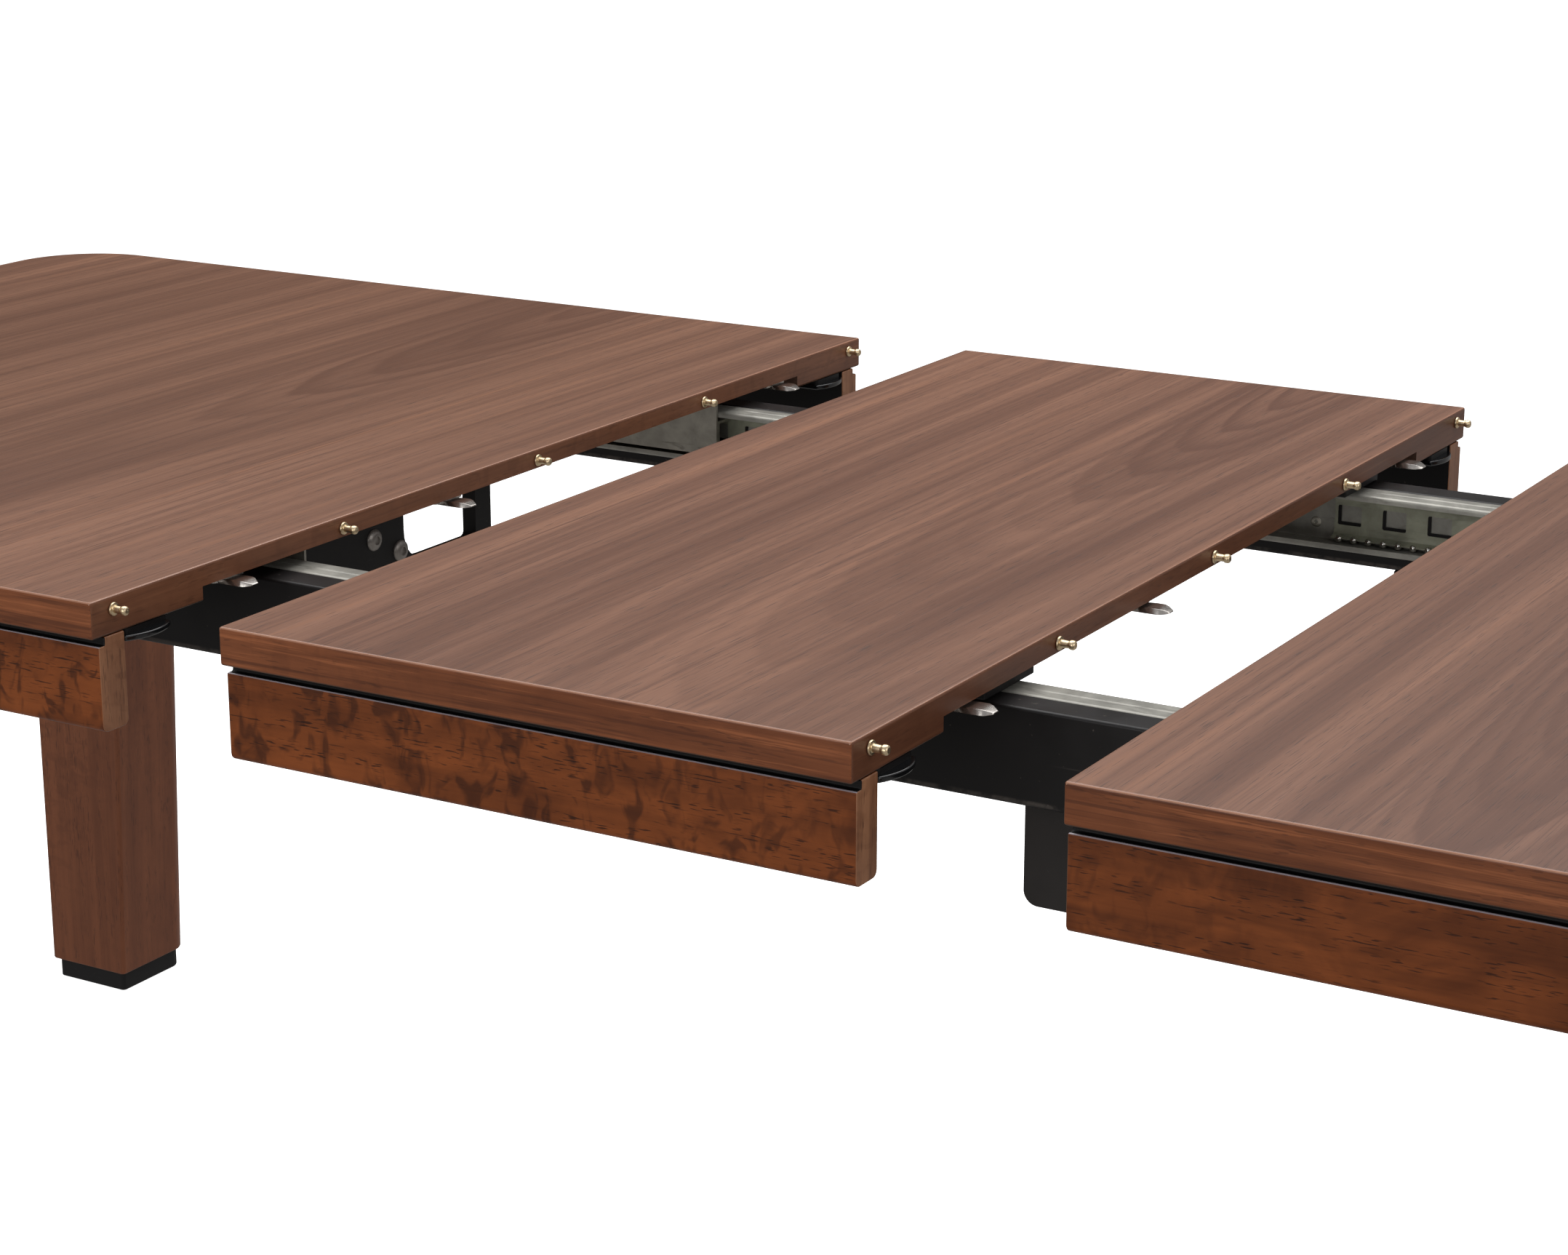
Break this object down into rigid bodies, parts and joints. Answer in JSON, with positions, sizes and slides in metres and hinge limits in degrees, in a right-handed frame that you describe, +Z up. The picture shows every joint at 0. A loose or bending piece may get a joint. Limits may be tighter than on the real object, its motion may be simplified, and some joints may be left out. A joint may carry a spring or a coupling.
{
  "type": "extendable dining table",
  "caption": "Rectangular wooden dining table drawn part-open: two end halves on straight legs, a loose leaf between them and steel ball slides on black runners.",
  "frame": {"origin": "on the floor under the centre of the table as drawn", "axes": "+X along the table towards the right half, +Y to the back long side, +Z up"},
  "size_m": [2.5348, 1.01, 0.762],
  "materials": {
    "veneer": "satin lacquered walnut veneer, grain across the table",
    "apron_wood": "satin lacquered reddish solid wood",
    "leg_wood": "satin lacquered walnut, grain upright",
    "foot_black": "matte black",
    "runner_black": "black lacquer, lightly scuffed",
    "tab_black": "gloss black",
    "slide_steel": "zinc plated, greased",
    "cage_steel": "zinc plated, greased",
    "lock_steel": "bright steel",
    "brass": "polished"
  },
  "bodies": {
    "carriage": {"runner_front": "runner_black", "runner_back": "runner_black", "channel_front": "slide_steel", "channel_back": "slide_steel", "low_board_front": "runner_black", "low_board_back": "runner_black", "cross_bar_1": "runner_black", "cross_bar_2": "runner_black"},
    "left_half": {"top_left": "veneer", "apron_left_front": "apron_wood", "apron_left_back": "apron_wood", "apron_left_end": "apron_wood", "leg_left_front": "leg_wood", "leg_left_back": "leg_wood", "foot_left_front": "foot_black", "foot_left_back": "foot_black", "slide_left_front": "slide_steel", "slide_left_back": "slide_steel", "tie_left": "runner_black", "lock_left_1": "lock_steel", "lock_left_2": "lock_steel", "lock_left_3": "lock_steel", "pin_left_1": "brass", "pin_left_2": "brass", "pin_left_3": "brass", "pin_left_4": "brass", "pin_left_5": "brass", "tab_left_front": "tab_black", "tab_left_back": "tab_black"},
    "right_half": {"top_right": "veneer", "apron_right_front": "apron_wood", "apron_right_back": "apron_wood", "apron_right_end": "apron_wood", "leg_right_front": "leg_wood", "leg_right_back": "leg_wood", "foot_right_front": "foot_black", "foot_right_back": "foot_black", "slide_right_front": "slide_steel", "slide_right_back": "slide_steel"},
    "leaf": {"top_leaf": "veneer", "apron_leaf_front": "apron_wood", "apron_leaf_back": "apron_wood", "bearer_front": "runner_black", "bearer_back": "runner_black", "lock_leaf_1": "lock_steel", "lock_leaf_2": "lock_steel", "lock_leaf_3": "lock_steel", "pin_leaf_1": "brass", "pin_leaf_2": "brass", "pin_leaf_3": "brass", "pin_leaf_4": "brass", "pin_leaf_5": "brass", "tab_leaf_front": "tab_black", "tab_leaf_back": "tab_black"},
    "left_cages": {"cage_left_front": "cage_steel", "cage_left_back": "cage_steel"},
    "right_cages": {"cage_right_front": "cage_steel", "cage_right_back": "cage_steel"}
  },
  "joints": [
    {"name": "left_pull", "type": "slide", "parent": "carriage", "child": "left_half", "axis": [-1, 0, 0], "range_m": [-0.1055, 0.145]},
    {"name": "right_pull", "type": "slide", "parent": "carriage", "child": "right_half", "axis": [1, 0, 0], "range_m": [-0.1317, 0.118]},
    {"name": "leaf_lift", "type": "slide", "parent": "carriage", "child": "leaf", "axis": [0, 0, 1], "range_m": [0, 0.3]},
    {"name": "left_cage_roll", "type": "slide", "parent": "carriage", "child": "left_cages", "axis": [-1, 0, 0], "range_m": [-0.053, 0.073]},
    {"name": "right_cage_roll", "type": "slide", "parent": "carriage", "child": "right_cages", "axis": [1, 0, 0], "range_m": [-0.066, 0.0595]}
  ],
  "couplings": [
    {"joint": "left_cage_roll", "follows": "left_pull", "ratio": 0.5},
    {"joint": "right_cage_roll", "follows": "right_pull", "ratio": 0.5}
  ]
}
